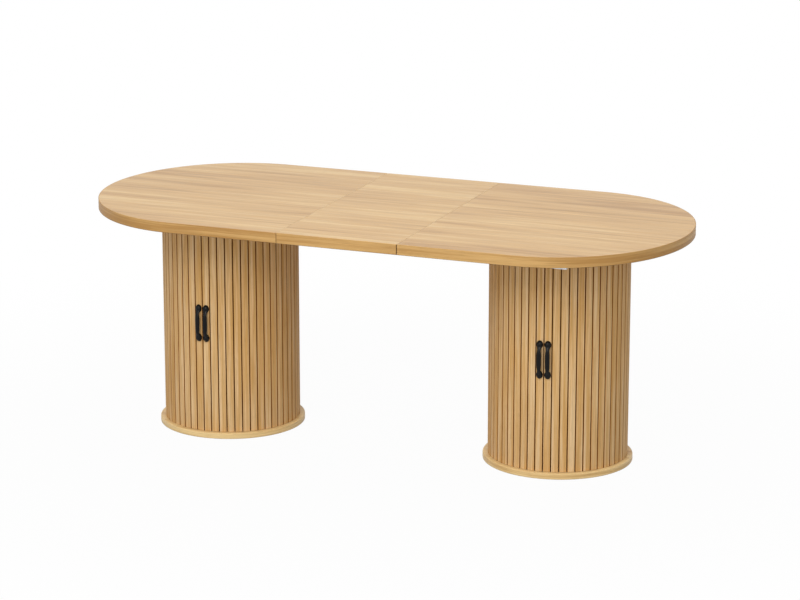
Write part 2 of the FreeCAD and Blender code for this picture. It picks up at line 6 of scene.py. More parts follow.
import bpy
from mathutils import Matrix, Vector


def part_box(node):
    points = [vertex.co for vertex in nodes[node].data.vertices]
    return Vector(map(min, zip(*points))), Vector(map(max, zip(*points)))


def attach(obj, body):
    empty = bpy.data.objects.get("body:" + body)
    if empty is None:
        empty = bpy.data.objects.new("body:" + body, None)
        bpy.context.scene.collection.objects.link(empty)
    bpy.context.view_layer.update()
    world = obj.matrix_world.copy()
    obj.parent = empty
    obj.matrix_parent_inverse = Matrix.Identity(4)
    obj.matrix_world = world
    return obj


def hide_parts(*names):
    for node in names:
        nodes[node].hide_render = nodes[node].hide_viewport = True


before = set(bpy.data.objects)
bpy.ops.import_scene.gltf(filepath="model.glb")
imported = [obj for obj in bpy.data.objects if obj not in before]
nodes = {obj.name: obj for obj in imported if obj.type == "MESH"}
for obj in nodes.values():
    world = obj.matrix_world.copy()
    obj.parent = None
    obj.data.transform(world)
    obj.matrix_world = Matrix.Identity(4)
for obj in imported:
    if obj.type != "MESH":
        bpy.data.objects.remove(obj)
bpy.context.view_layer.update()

# Sizes repeated from the solids
HANDS = {"left": -1, "right": 1}
DRUM_X = {"left_drum": -0.562, "right_drum": 0.562}
MEETING_SLATS = {"left_drum": 0, "right_drum": 1}  # from a drum's front to the line where its doors meet
DRUM_RADIUS = 0.220
SLAT_PITCH = 0.0253 / DRUM_RADIUS  # radians
SLATS_PER_DOOR = 18
SLAT_BACK = 0.211  # from the drum's axis
PLATE_RADIUS = 0.236
UNDERSIDE = 0.727  # of the table top
SEAM_X = 0.1982  # where a half of the top starts
LEAF_END = 0.197
END_START_X = 0.560  # where the top's straight sides turn into its round ends
END_RADIUS = 0.435  # about the mean of an end's two half axes
HANDLE_HEIGHT = 0.379  # middle of a handle above the floor
HANDLE_CENTRES = 0.096

# Camera
CAMERA_PLACE = (3.4375, -8.5588, 2.9049)
CAMERA_TURN = 0.3791  # radians, to the left of +Y
CAMERA_TILT = 0.2595  # radians, below the horizon
CAMERA_LENS = 135.0  # mm on the 36 mm frame
CAMERA_REACH = 200.0  # how far it sees

# Light and floor
WHITE = (1, 1, 1, 1)
FLOOR_GREY = (0.5, 0.5, 0.5, 1)
FLOOR_SIZE = 60.0
FLOOR_NEAR = 0.9  # from the table's middle, where the floor starts to fade into the background
FLOOR_FAR = 2.6  # and where it is plain white
FLOOR_WHITENESS = 0.97  # close to the table; the rest shows the shadow
WORLD_FILL = 0.50  # strength of the light from all round
WORLD_SEEN = 1.0  # its strength where it is looked at
LIGHT_AIM = Vector((0, 0, 0.5))
SOFTBOXES = (  # name, place, length of an edge, watts
    ("key_softbox", (0.2, -4.5, 4.2), 3.0, 139.0),
    ("low_softbox", (-0.8, -5.2, 1.2), 2.0, 31.0),
    ("right_softbox", (3.6, -3.6, 2.4), 2.4, 28.0),
    ("top_softbox", (0.0, 0.8, 4.6), 3.2, 45.0),
)


# Node building


def linear(red, green, blue):
    """A written colour, 0 to 255, as the shader's numbers."""
    parts = [c / 255 for c in (red, green, blue)]
    return (*(c / 12.92 if c <= 0.04045 else ((c + 0.055) / 1.055) ** 2.4 for c in parts), 1.0)


def add_node(tree, kind, inputs=None, **settings):
    """One shader node, with its settings, and its sockets set or linked."""
    made = tree.nodes.new(kind)
    for key, value in settings.items():
        setattr(made, key, value)
    for key, value in (inputs or {}).items():
        if isinstance(value, bpy.types.NodeSocket):
            tree.links.new(value, made.inputs[key])
        else:
            made.inputs[key].default_value = value
    return made


def math_node(tree, operation, *values):
    return add_node(tree, "ShaderNodeMath", dict(enumerate(values)), operation=operation).outputs[0]


def ranged(tree, value, low, high, to_low=0.0, to_high=1.0):
    """A value moved from one range to another, smoothly, and held at its ends."""
    inputs = {"Value": value, "From Min": low, "From Max": high, "To Min": to_low, "To Max": to_high}
    return add_node(tree, "ShaderNodeMapRange", inputs, interpolation_type="SMOOTHSTEP").outputs[0]


def mixed(tree, factor, first, second, blend="MIX"):
    """Two colours mixed; the node's sockets 0, 6 and 7 are the factor and the colours."""
    inputs = {0: factor, 6: first, 7: second}
    return add_node(tree, "ShaderNodeMix", inputs, data_type="RGBA", blend_type=blend).outputs[2]


def noise(tree, vector, scale=1.0, detail=3.0, roughness=0.5, distortion=0.0):
    inputs = {"Vector": vector, "Scale": scale, "Detail": detail, "Roughness": roughness}
    inputs["Distortion"] = distortion
    return add_node(tree, "ShaderNodeTexNoise", inputs).outputs["Fac"]


def mapped(tree, vector, scale=(1, 1, 1), place=(0, 0, 0)):
    inputs = {"Vector": vector, "Scale": scale, "Location": place}
    return add_node(tree, "ShaderNodeMapping", inputs).outputs[0]


def axes_of(tree, vector):
    return add_node(tree, "ShaderNodeSeparateXYZ", {0: vector}).outputs


def vector_of(tree, along, across, depth=0.0):
    return add_node(tree, "ShaderNodeCombineXYZ", {0: along, 1: across, 2: depth}).outputs[0]


def length_of(tree, vector):
    return add_node(tree, "ShaderNodeVectorMath", {0: vector}, operation="LENGTH").outputs["Value"]


def new_material(name):
    """An empty material, its node tree and its coordinates in metres."""
    material = bpy.data.materials.new(name)
    material.use_nodes = True
    tree = material.node_tree
    tree.nodes.clear()
    coords = add_node(tree, "ShaderNodeTexCoord").outputs["Object"]
    return material, tree, coords


def close_material(tree, bump, bump_distance=0.0002, bump_strength=0.5, **sockets):
    """Ends a material with its surface shader; sockets are given with underscores for spaces."""
    inputs = {key.replace("_", " "): value for key, value in sockets.items()}
    height = {"Height": bump, "Distance": bump_distance, "Strength": bump_strength}
    inputs["Normal"] = add_node(tree, "ShaderNodeBump", height).outputs[0]
    shader = add_node(tree, "ShaderNodeBsdfPrincipled", inputs)
    add_node(tree, "ShaderNodeOutputMaterial", {"Surface": shader.outputs[0]})


def round_drum(tree, coords, drum_x):
    """Angle from a drum's front and distance from its axis, with the height."""
    axes = axes_of(tree, mapped(tree, coords, place=(-drum_x, 0, 0)))
    angle = math_node(tree, "ARCTAN2", axes[0], math_node(tree, "MULTIPLY", axes[1], -1.0))
    reach = length_of(tree, vector_of(tree, axes[0], axes[1]))
    return angle, reach, axes[2]


# Oak

OAK_LIGHT = linear(226, 190, 130)
OAK_MIDDLE = linear(208, 165, 102)
OAK_DARK = linear(180, 134, 73)
OAK_PAINTED_LIGHT = linear(240, 214, 168)
OAK_PORE = linear(140, 98, 54)
SLAT_LIGHT = linear(230, 201, 155)
PLATE_LIGHT = linear(242, 211, 152)
PAINTED_SHADE_BROWN = linear(96, 62, 26)  # painted shade at the ends and lower edges of edge strips and plates
SLAT_SIDE_SHADE = linear(172, 108, 46)  # a slat's side close behind its face: its own brown, darkened with painted shade
GAP_SHADE_DEEP = linear(92, 42, 3)  # and painted shade deep between two slats
SLAT_WARMTH = (1.02, 0.97, 0.94, 1.0)  # of the slats' veneer against the boards'

# Scales of the figure, along the grain and across it, per metre
BAND_SCALE = (0.6, 8.0, 8.0)
STREAK_SCALE = (1.8, 30.0, 30.0)
THREAD_SCALE = (2.6, 95.0, 95.0)
LINE_SCALE = (7.0, 420.0, 420.0)
PORE_SCALE = (26.0, 900.0, 900.0)
BOARD_SHARES = (0.28, 0.40, 0.30)  # of broad bands, streaks and fine threads in the figure
SLAT_SHARES = (0.03, 0.10, 0.38)
DARK_TO_MIDDLE = (0.36, 0.51)  # of the figure's value
MIDDLE_TO_LIGHT = (0.49, 0.64)
LINE_CONTRAST = (0.30, 0.70)
LINE_SHADES = (0.90, 1.05)
LINE_RELIEF = 0.35  # against a pore's depth
PORE_CUT = (0.62, 0.74)
PORE_SHADE = 0.40

# How rough the lacquer is from line to line, and how strongly it mirrors
LINE_SPAN = (0.2, 0.8)
BOARD_ROUGH = (0.30, 0.40)
BAND_ROUGH = (0.40, 0.52)
PLATE_ROUGH = (0.36, 0.46)
CARCASS_ROUGH = (0.48, 0.60)
SLAT_ROUGH = (0.55, 0.68)
SLAT_SIDE_ROUGH = 0.95
STRIP_MIRROR = 0.3
SLAT_MIRROR = 0.13

# Seams, edges and slats
SEAM_SHADE = 0.0012  # how far from its end an edge strip has painted shade
EDGE_SHADE = 0.0022  # and how far from its lower edge
PLATE_EDGE_SHADE = 0.6
BAND_STRETCH = (1, 1.6, 1)  # finer figure up an edge strip
BAND_TURN = 0.30  # how far round an end its edge strip changes to the end's darker tone, painted shade where the strip turns from the light
JOINT_X = (SEAM_X + LEAF_END) / 2  # middle of the gap between a half and the leaf
# painted light along the joint between the leaf and the halves, lifting the shade of the gap
JOINT_LIGHT_REACH = 0.0024
JOINT_LIGHT_SHARE = 0.8
PLATE_FACE_TONE = 0.14
PLATE_RIM_TONE = 0.085
PLATE_RIM_DEPTH = 3.0  # takes the rim's veneer from another sheet than the faces'
PLATE_FACE_TIP = (0.6, 0.8)  # upright part of the normal, from rim to face
SLAT_TONES = (0.04, 0.06)
SLAT_SHIFT = 40.0  # metres of veneer that the slats are picked from
SLAT_DRAWS = {"left_drum": 17.0, "right_drum": 211.0}  # where each drum's picks start
SLAT_EDGE_SHADE_DEPTH = 0.00012  # under a slat's face, where painted shade starts on its rounded edges
GAP_SHADE_START = 0.00045  # where a slat's side colour takes over, and the painted shade starts to deepen
GAP_SHADE_END = 0.0044  # and where it is darkest
SIDE_MOTTLE_SCALE = 500.0
SIDE_MOTTLE_CONTRAST = (0.3, 0.7)
SIDE_MOTTLE_TONES = (0.8, 1.0)


def oak_figure(tree, grain, tone=0.0, shares=BOARD_SHARES, light=OAK_LIGHT):
    """Oak colour, relief and fine lines from a grain vector that runs along its X, in metres."""
    bands = noise(tree, mapped(tree, grain, BAND_SCALE), detail=2.0, distortion=0.3)
    streaks = noise(tree, mapped(tree, grain, STREAK_SCALE), roughness=0.55, distortion=0.3)
    threads = noise(tree, mapped(tree, grain, THREAD_SCALE), roughness=0.6, distortion=0.1)
    lines = noise(tree, mapped(tree, grain, LINE_SCALE), detail=2.0)
    pores = ranged(tree, noise(tree, mapped(tree, grain, PORE_SCALE), detail=1.0), *PORE_CUT)
    tonal = math_node(tree, "MULTIPLY_ADD", bands, shares[0], (1.0 - sum(shares)) / 2)
    tonal = math_node(tree, "MULTIPLY_ADD", streaks, shares[1], tonal)
    tonal = math_node(tree, "MULTIPLY_ADD", threads, shares[2], tonal)
    tonal = math_node(tree, "ADD", tonal, tone)
    colour = mixed(tree, ranged(tree, tonal, *DARK_TO_MIDDLE), OAK_DARK, OAK_MIDDLE)
    colour = mixed(tree, ranged(tree, tonal, *MIDDLE_TO_LIGHT), colour, light)
    fine = ranged(tree, lines, *LINE_CONTRAST, *LINE_SHADES)
    grey = add_node(tree, "ShaderNodeCombineColor", {0: fine, 1: fine, 2: fine}).outputs[0]
    colour = mixed(tree, 1.0, colour, grey, "MULTIPLY")
    colour = mixed(tree, math_node(tree, "MULTIPLY", pores, PORE_SHADE), colour, OAK_PORE)
    relief = math_node(tree, "SUBTRACT", math_node(tree, "MULTIPLY", lines, LINE_RELIEF), pores)
    return colour, relief, lines


def flat_oak(name, place, tone=0.0):
    """A lacquered board with its grain along the table, with painted light where the leaf meets the
    halves to lift the gap's shade; place picks the stretch of veneer."""
    material, tree, coords = new_material(name)
    colour, relief, lines = oak_figure(tree, mapped(tree, coords, place=place), tone)
    out = math_node(tree, "ABSOLUTE", axes_of(tree, coords)[0])
    # painted light along the joint, lifting the shade of the gap
    aside = math_node(tree, "ABSOLUTE", math_node(tree, "SUBTRACT", out, JOINT_X))
    wear_and_painted_light = ranged(tree, aside, 0.0, JOINT_LIGHT_REACH, JOINT_LIGHT_SHARE, 0.0)
    colour = mixed(tree, wear_and_painted_light, colour, OAK_PAINTED_LIGHT)
    rough = ranged(tree, lines, *LINE_SPAN, *BOARD_ROUGH)
    close_material(tree, relief, bump_strength=0.4, Base_Color=colour, Roughness=rough)
    return material


def strip_oak(tree, level, axes, seam, place, tone):
    """Ends an edge strip's material: grain along the strip, with painted shade at its ends and along its
    lower edge.
    """
    grain = mapped(tree, vector_of(tree, level, axes[2]), BAND_STRETCH, place)
    colour, relief, lines = oak_figure(tree, grain, tone)
    # painted shade along the strip's lower edge, and at its ends by the joint
    low = ranged(tree, axes[2], UNDERSIDE, UNDERSIDE + EDGE_SHADE, 1.0, 0.0)
    colour = mixed(tree, math_node(tree, "MAXIMUM", seam, low), colour, PAINTED_SHADE_BROWN)
    rough = ranged(tree, lines, *LINE_SPAN, *BAND_ROUGH)
    close_material(tree, relief, Base_Color=colour, Roughness=rough, Specular_IOR_Level=STRIP_MIRROR)


def straight_band_oak(name, place, tone):
    """The leaf's edge strips, straight along the table."""
    material, tree, coords = new_material(name)
    axes = axes_of(tree, coords)
    out = math_node(tree, "ABSOLUTE", axes[0])
    # painted shade at the strip's ends, by the joint with the halves
    seam = ranged(tree, out, LEAF_END - SEAM_SHADE, LEAF_END - SEAM_SHADE / 2)
    strip_oak(tree, axes[0], axes, seam, place, tone)
    return material


def round_band_oak(name, side, place, tone, end_shade_tone, painted_end_shade):
    """A half's edge strip, along the front, round the end and back along the rear; side is +1 or -1;
    its tone darkens round the end with painted shade, and the last argument sets the painted shade at
    its joint end."""
    material, tree, coords = new_material(name)
    axes = axes_of(tree, mapped(tree, coords, (side, side, 1)))
    past = math_node(tree, "SUBTRACT", axes[0], END_START_X)
    ahead = math_node(tree, "MULTIPLY", axes[1], -1.0)
    angle = math_node(tree, "ARCTAN2", math_node(tree, "MAXIMUM", past, 0.0), ahead)
    way = math_node(tree, "SIGN", ahead)
    straight = math_node(tree, "MULTIPLY", math_node(tree, "MINIMUM", past, 0.0), way)
    level = math_node(tree, "MULTIPLY_ADD", angle, END_RADIUS, straight)
    # painted shade at the strip's end by the joint with the leaf
    seam = ranged(tree, axes[0], SEAM_X + SEAM_SHADE / 2, SEAM_X + SEAM_SHADE, painted_end_shade, 0.0)
    # the tone darkens round the end: painted shade
    strip_oak(tree, level, axes, seam, place, ranged(tree, past, 0.0, BAND_TURN, tone, end_shade_tone))
    return material


def plate_oak(name, drum_x, place, underside):
    """A round plate: flat grain on its faces, and a strip round its rim with painted shadow along its
    lower edge.
    """
    material, tree, coords = new_material(name)
    angle, _, height = round_drum(tree, coords, drum_x)
    round_rim = math_node(tree, "MULTIPLY", angle, PLATE_RADIUS)
    rim = vector_of(tree, round_rim, height, PLATE_RIM_DEPTH)
    tip = axes_of(tree, add_node(tree, "ShaderNodeNewGeometry").outputs["Normal"])[2]
    faces = ranged(tree, math_node(tree, "ABSOLUTE", tip), *PLATE_FACE_TIP)
    inputs = {0: faces, 4: rim, 5: coords}  # sockets of the factor and the vectors
    grain = add_node(tree, "ShaderNodeMix", inputs, data_type="VECTOR").outputs[1]
    tone = ranged(tree, faces, 0.0, 1.0, PLATE_RIM_TONE, PLATE_FACE_TONE)
    # painted shadow along the plate's lower edge
    low = ranged(tree, height, underside, underside + EDGE_SHADE, PLATE_EDGE_SHADE, 0.0)
    veneer = mapped(tree, grain, place=place)
    colour, relief, lines = oak_figure(tree, veneer, tone, light=PLATE_LIGHT)
    colour = mixed(tree, low, colour, PAINTED_SHADE_BROWN)
    rough = ranged(tree, lines, *LINE_SPAN, *PLATE_ROUGH)
    close_material(tree, relief, Base_Color=colour, Roughness=rough, Specular_IOR_Level=STRIP_MIRROR)
    return material


def upright_oak(name, place):
    """A board with its grain upright."""
    material, tree, coords = new_material(name)
    axes = axes_of(tree, coords)
    grain = mapped(tree, vector_of(tree, axes[2], axes[1], axes[0]), place=place)
    colour, relief, lines = oak_figure(tree, grain)
    rough = ranged(tree, lines, *LINE_SPAN, *CARCASS_ROUGH)
    close_material(tree, relief, Base_Color=colour, Roughness=rough)
    return material


def slat_oak(name, drum_x, draws):
    """Upright grain that starts afresh on each slat round the drum, each a little lighter or darker, and
    brown sides with painted shade on the rounded edges and deep in the gaps between them."""
    material, tree, coords = new_material(name)
    angle, reach, height = round_drum(tree, coords, drum_x)
    slat = math_node(tree, "FLOOR", math_node(tree, "DIVIDE", angle, SLAT_PITCH))
    draw = {"W": math_node(tree, "ADD", slat, draws)}
    pick = add_node(tree, "ShaderNodeTexWhiteNoise", draw, noise_dimensions="1D").outputs["Value"]
    shift = math_node(tree, "MULTIPLY", pick, SLAT_SHIFT)
    along = math_node(tree, "ADD", height, shift)
    across = math_node(tree, "MULTIPLY_ADD", angle, DRUM_RADIUS, shift)
    tone = ranged(tree, pick, 0.0, 1.0, *SLAT_TONES)
    grain = vector_of(tree, along, across, reach)
    colour, relief, lines = oak_figure(tree, grain, tone, SLAT_SHARES, SLAT_LIGHT)
    colour = mixed(tree, 1.0, colour, SLAT_WARMTH, "MULTIPLY")
    side_noise = noise(tree, coords, SIDE_MOTTLE_SCALE, detail=4.0, roughness=0.7)
    side_mottle = ranged(tree, side_noise, *SIDE_MOTTLE_CONTRAST, *SIDE_MOTTLE_TONES)
    # painted shade: a slat's rounded edges and sides darken, most deeply between two slats
    middle = math_node(tree, "MULTIPLY", math_node(tree, "ADD", slat, 0.5), SLAT_PITCH)
    aside = math_node(tree, "COSINE", math_node(tree, "SUBTRACT", angle, middle))
    depth = math_node(tree, "SUBTRACT", DRUM_RADIUS, math_node(tree, "MULTIPLY", reach, aside))
    shallow = ranged(tree, depth, GAP_SHADE_START, GAP_SHADE_END, 1.0, 0.0)
    gap_shade = mixed(tree, math_node(tree, "MULTIPLY", shallow, side_mottle), GAP_SHADE_DEEP, SLAT_SIDE_SHADE)
    veneer = ranged(tree, depth, SLAT_EDGE_SHADE_DEPTH, GAP_SHADE_START, 1.0, 0.0)
    colour = mixed(tree, veneer, gap_shade, colour)
    smoother = math_node(tree, "SUBTRACT", ranged(tree, lines, *LINE_SPAN, *SLAT_ROUGH), SLAT_SIDE_ROUGH)
    rough = math_node(tree, "MULTIPLY_ADD", veneer, smoother, SLAT_SIDE_ROUGH)
    close_material(tree, relief, Base_Color=colour, Roughness=rough, Specular_IOR_Level=SLAT_MIRROR)
    return material


# Metal, plastic, beech and cloth

FINE_BUMP = {"bump_distance": 0.0001, "bump_strength": 0.4}
METAL_BUMP = {"bump_distance": 0.00005, "bump_strength": 0.3}
CLOTH_BUMP = {"bump_distance": 0.0003, "bump_strength": 0.8}
HANDLE_BLACKS = (linear(6, 6, 6), linear(12, 11, 11))
HANDLE_WORN = linear(34, 32, 31)
HANDLE_WEAR = 0.25
HANDLE_CROWNS = (0.52, 0.60)  # pointiness, from flat to worn
HANDLE_SKIN_SCALE = 900.0
HANDLE_CLOUD_SCALE = 60.0
HANDLE_ROUGH = (0.22, 0.14)  # the least, and how far it rises
HANDLE_MIRROR = 0.16
RAIL_GREYS = (linear(186, 188, 190), linear(212, 213, 214))
RAIL_LINE_SCALE = (6.0, 1500.0, 1500.0)
RAIL_CLOUD_SCALE = (3.0, 20.0, 20.0)
RAIL_ROUGH = (0.26, 0.18)
ZINC_GREYS = (linear(150, 152, 156), linear(196, 196, 192))
ZINC_SCALE = 350.0
ZINC_ROUGH = (0.24, 0.2)
PLASTIC_BLACK = linear(30, 30, 31)
PLASTIC_SCUFFED = linear(62, 61, 60)
PLASTIC_SKIN_SCALE = 1400.0
PLASTIC_ROUGH = (0.50, 0.66)  # from dip to tip of its skin
SCUFF_SCALE = (60.0, 900.0, 60.0)
SCUFF_CUT = (0.58, 0.72)
SCUFF_SHADE = 0.5
BEECH_TONES = (linear(196, 158, 112), linear(226, 192, 148))
BEECH_SCALE = (20.0, 500.0, 500.0)
BEECH_ROUGH = 0.55
CLOTH_THREADS = (linear(52, 26, 5), linear(76, 42, 10))  # under and over
CLOTH_SLUB = linear(88, 52, 16)
CLOTH_ROUGH = 0.9
CLOTH_MIRROR = 0.05
THREAD_PITCH = 0.0011
SLUB_SCALE = 160.0
SLUB_CUT = (0.3, 0.7)
SLUB_SHADE = 0.3


def roughened(tree, value, least, spread):
    """Roughness that rises with a value."""
    return math_node(tree, "ADD", least, math_node(tree, "MULTIPLY", value, spread))


def cast_black(name):
    """Black-painted casting with a slightly pebbled skin, a little worn on its crowns."""
    material, tree, coords = new_material(name)
    skin = noise(tree, coords, HANDLE_SKIN_SCALE, roughness=0.6)
    cloud = noise(tree, coords, HANDLE_CLOUD_SCALE, detail=2.0)
    crowns = add_node(tree, "ShaderNodeNewGeometry").outputs["Pointiness"]
    wear_and_painted_light = math_node(tree, "MULTIPLY", ranged(tree, crowns, *HANDLE_CROWNS), HANDLE_WEAR)
    colour = mixed(tree, wear_and_painted_light, mixed(tree, cloud, *HANDLE_BLACKS), HANDLE_WORN)
    rough = roughened(tree, skin, *HANDLE_ROUGH)
    close_material(tree, skin, **FINE_BUMP, Base_Color=colour, Roughness=rough,
                   Specular_IOR_Level=HANDLE_MIRROR)
    return material


def drawn_aluminium(name):
    """Extruded metal with fine lines along the table."""
    material, tree, coords = new_material(name)
    lines = noise(tree, mapped(tree, coords, RAIL_LINE_SCALE), detail=2.0)
    cloud = noise(tree, mapped(tree, coords, RAIL_CLOUD_SCALE), detail=2.0)
    colour = mixed(tree, cloud, *RAIL_GREYS)
    rough = roughened(tree, lines, *RAIL_ROUGH)
    close_material(tree, lines, **METAL_BUMP, Base_Color=colour, Roughness=rough, Metallic=1.0)
    return material


def zinc_steel(name):
    """Zinc-plated steel, slightly cloudy."""
    material, tree, coords = new_material(name)
    cloud = noise(tree, coords, ZINC_SCALE, roughness=0.6)
    colour = mixed(tree, cloud, *ZINC_GREYS)
    rough = roughened(tree, cloud, *ZINC_ROUGH)
    close_material(tree, cloud, **METAL_BUMP, Base_Color=colour, Roughness=rough, Metallic=1.0)
    return material


def moulded_black(name):
    """Matt moulded plastic, scuffed where it stands on the floor."""
    material, tree, coords = new_material(name)
    skin = noise(tree, coords, PLASTIC_SKIN_SCALE, roughness=0.6)
    scuffs = noise(tree, mapped(tree, coords, SCUFF_SCALE))
    wear_and_painted_light = ranged(tree, scuffs, *SCUFF_CUT, 0.0, SCUFF_SHADE)
    colour = mixed(tree, wear_and_painted_light, PLASTIC_BLACK, PLASTIC_SCUFFED)
    rough = ranged(tree, skin, 0.2, 0.8, *PLASTIC_ROUGH)
    close_material(tree, skin, **FINE_BUMP, Base_Color=colour, Roughness=rough)
    return material


def turned_beech(name):
    """Plain turned beech with its grain along the table."""
    material, tree, coords = new_material(name)
    lines = noise(tree, mapped(tree, coords, BEECH_SCALE))
    colour = mixed(tree, lines, *BEECH_TONES)
    close_material(tree, lines, **FINE_BUMP, Base_Color=colour, Roughness=BEECH_ROUGH)
    return material


def canvas_weave(name, drum_x):
    """Plain-woven dark cloth: one thread over, one under, round the drum and up it."""
    material, tree, coords = new_material(name)
    angle, _, height = round_drum(tree, coords, drum_x)
    turns = math.pi / THREAD_PITCH
    weft = math_node(tree, "SINE", math_node(tree, "MULTIPLY", angle, turns * SLAT_BACK))
    warp = math_node(tree, "SINE", math_node(tree, "MULTIPLY", height, turns))
    weave = math_node(tree, "MULTIPLY", weft, warp)
    slub = ranged(tree, noise(tree, coords, SLUB_SCALE, roughness=0.6), *SLUB_CUT, 0.0, SLUB_SHADE)
    colour = mixed(tree, ranged(tree, weave, -1.0, 1.0), *CLOTH_THREADS)
    colour = mixed(tree, slub, colour, CLOTH_SLUB)
    close_material(tree, weave, **CLOTH_BUMP, Base_Color=colour, Roughness=CLOTH_ROUGH,
                   Specular_IOR_Level=CLOTH_MIRROR)
    return material


# Finish of the solids whose shape is right

CARCASS_PLACE = (0.2, 0.5, 0.1)  # places pick the stretch of veneer
SHELF_PLACE = (2.2, 0.4, 0.1)
LEAF_PLACE = (1.9, 3.2, 0.7)
LEAF_TONE = 0.03
LEAF_BAND_PLACE = (6.3, 0.4, 0.0)
LEAF_BAND_TONE = -0.075
HALF_LOOKS = (  # side, place, then its edge strip: tones along the table and at the end, darker there as painted shade, and how strongly shade is painted at its end by the joint
    ("left", (0.0, 0.0, 0.0), -0.07, -0.10, 0.1),
    ("right", (4.1, 1.7, 0.3), -0.03, -0.12, 1.0),
)
PLATE_PLACES = {"left_drum": (0.3, 0.1, 0.0), "right_drum": (0.3, 1.1, 0.0)}


def paint(node, material):
    """Gives a CAD node its finish."""
    mesh = nodes[node].data
    mesh.materials.clear()
    mesh.materials.append(material)


def finish_cad():
    """Finishes of the wood and the rails."""
    aluminium = drawn_aluminium("drawn_rail")
    board = upright_oak("carcass_oak", CARCASS_PLACE)
    shelf = flat_oak("shelf_oak", SHELF_PLACE)
    for side, place, tone, end_shade_tone, painted_end_shade in HALF_LOOKS:
        paint(f"{side}_top_panel", flat_oak(f"{side}_board_oak", place))
        band = round_band_oak(f"{side}_band_oak", HANDS[side], place, tone, end_shade_tone, painted_end_shade)
        paint(f"{side}_edge_band", band)
        paint(f"front_{side}_rail", aluminium)
        paint(f"rear_{side}_rail", aluminium)
    paint("leaf_panel", flat_oak("leaf_board_oak", LEAF_PLACE, LEAF_TONE))
    paint("leaf_edge_bands", straight_band_oak("leaf_band_oak", LEAF_BAND_PLACE, LEAF_BAND_TONE))
    paint("front_runner", aluminium)
    paint("rear_runner", aluminium)
    for drum, axis_x in DRUM_X.items():
        slats = slat_oak(f"{drum}_slat_oak", axis_x, SLAT_DRAWS[drum])
        for plate in (f"{drum}_base_plate", f"{drum}_top_plate"):
            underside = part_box(plate)[0][2]
            paint(plate, plate_oak(f"{plate}_oak", axis_x, PLATE_PLACES[drum], underside))
        paint(f"{drum}_shelf", shelf)
        for piece in ("left_side_panel", "right_side_panel", "back_panel"):
            paint(f"{drum}_{piece}", board)
        for hand in HANDS:
            paint(f"{drum}_{hand}_door_slats", slats)
            paint(f"{drum}_{hand}_door_lead_slat", slats)


# Modelling

MERGE_DISTANCE = 0.000005
SHARP_ANGLE = math.radians(35)
UPRIGHT = (0, 0, 0)
UPSIDE_DOWN = (math.pi, 0, 0)


def deselect_all():
    bpy.ops.object.select_all(action="DESELECT")


def select_only(piece):
    deselect_all()
    piece.select_set(True)
    bpy.context.view_layer.objects.active = piece


def edit(piece):
    """Opens a piece for editing with all of it selected."""
    select_only(piece)
    bpy.ops.object.mode_set(mode="EDIT")
    bpy.ops.mesh.select_all(action="SELECT")


def close_edit():
    """Merges doubles, turns all faces outwards and leaves edit mode."""
    bpy.ops.mesh.select_all(action="SELECT")
    bpy.ops.mesh.remove_doubles(threshold=MERGE_DISTANCE)
    bpy.ops.mesh.normals_make_consistent(inside=False)
    bpy.ops.object.mode_set(mode="OBJECT")


def add_modifier(piece, kind, **settings):
    """A modifier, set and applied at once."""
    select_only(piece)
    made = piece.modifiers.new(kind.lower(), kind)
    for key, value in settings.items():
        setattr(made, key, value)
    bpy.ops.object.modifier_apply(modifier=made.name)


def smooth(piece):
    """Shades a piece smoothly apart from its sharp edges."""
    select_only(piece)
    bpy.ops.object.shade_smooth_by_angle(angle=SHARP_ANGLE)


def turned(name, outline, sides):
    """A turned piece on the Z axis: a disc, extruded and resized from ring to ring (radius, height)."""
    deselect_all()
    radius, height = outline[0]
    start = (0, 0, height)
    bpy.ops.mesh.primitive_circle_add(vertices=sides, radius=radius, fill_type="NGON", location=start)
    piece = bpy.context.object
    bpy.ops.object.transform_apply(location=True, rotation=False, scale=False)
    piece.name = name
    edit(piece)
    for (before, low), (radius, high) in zip(outline, outline[1:]):
        bpy.ops.mesh.extrude_region_move(TRANSFORM_OT_translate={"value": (0, 0, high - low)})
        ratio = radius / before
        bpy.ops.transform.resize(value=(ratio, ratio, 1), center_override=(0, 0, high))
    close_edit()
    return piece


def copies(master, name, places):
    """One piece of several copies of a master, each at a place and turned by Euler angles."""
    deselect_all()
    for place, turn in places:
        copy = master.copy()
        copy.data = master.data.copy()
        copy.location = place
        copy.rotation_euler = turn
        bpy.context.scene.collection.objects.link(copy)
        copy.select_set(True)
        bpy.context.view_layer.objects.active = copy
    bpy.ops.object.transform_apply(location=True, rotation=True, scale=False)
    bpy.ops.object.join()
    group = bpy.context.object
    group.name = name
    return group


def drop(master):
    """Takes a master away once its copies are made."""
    bpy.data.objects.remove(master)


def hand_over(piece, node, body, material):
    """Gives a new piece its finish, and puts it in the place of a solid."""
    piece.data.materials.clear()
    piece.data.materials.append(material)
    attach(piece, body)
    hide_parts(node)


def outward(angle):
    """Level direction at an angle from a drum's front."""
    return Vector((math.sin(angle), -math.cos(angle), 0))


def sideways(angle):
    """Level direction round the drum at an angle from its front."""
    return Vector((math.cos(angle), math.sin(angle), 0))


def meeting_angle(drum):
    """The angle, from a drum's front, of the line where its two doors meet."""
    return MEETING_SLATS[drum] * SLAT_PITCH


def lead_angle(drum, hand):
    """The angle of the middle of a door's lead slat."""
    return meeting_angle(drum) + HANDS[hand] * SLAT_PITCH / 2


def four(x, y):
    """The four places of a rectangle about the middle."""
    return [(sx * x, sy * y) for sx in HANDS.values() for sy in HANDS.values()]


# Canvas backing of the doors

CANVAS_THICKNESS = 0.0008
CANVAS_HALF_STRETCH = 0.01115  # from the middle of an outer slat to the cloth's edge
CANVAS_LOW = 0.033
CANVAS_HIGH = 0.696


def trim(edge, outwards):
    """Cuts the open piece off past an upright plane."""
    bpy.ops.mesh.select_all(action="SELECT")
    bpy.ops.mesh.bisect(plane_co=edge, plane_no=outwards, clear_outer=True)


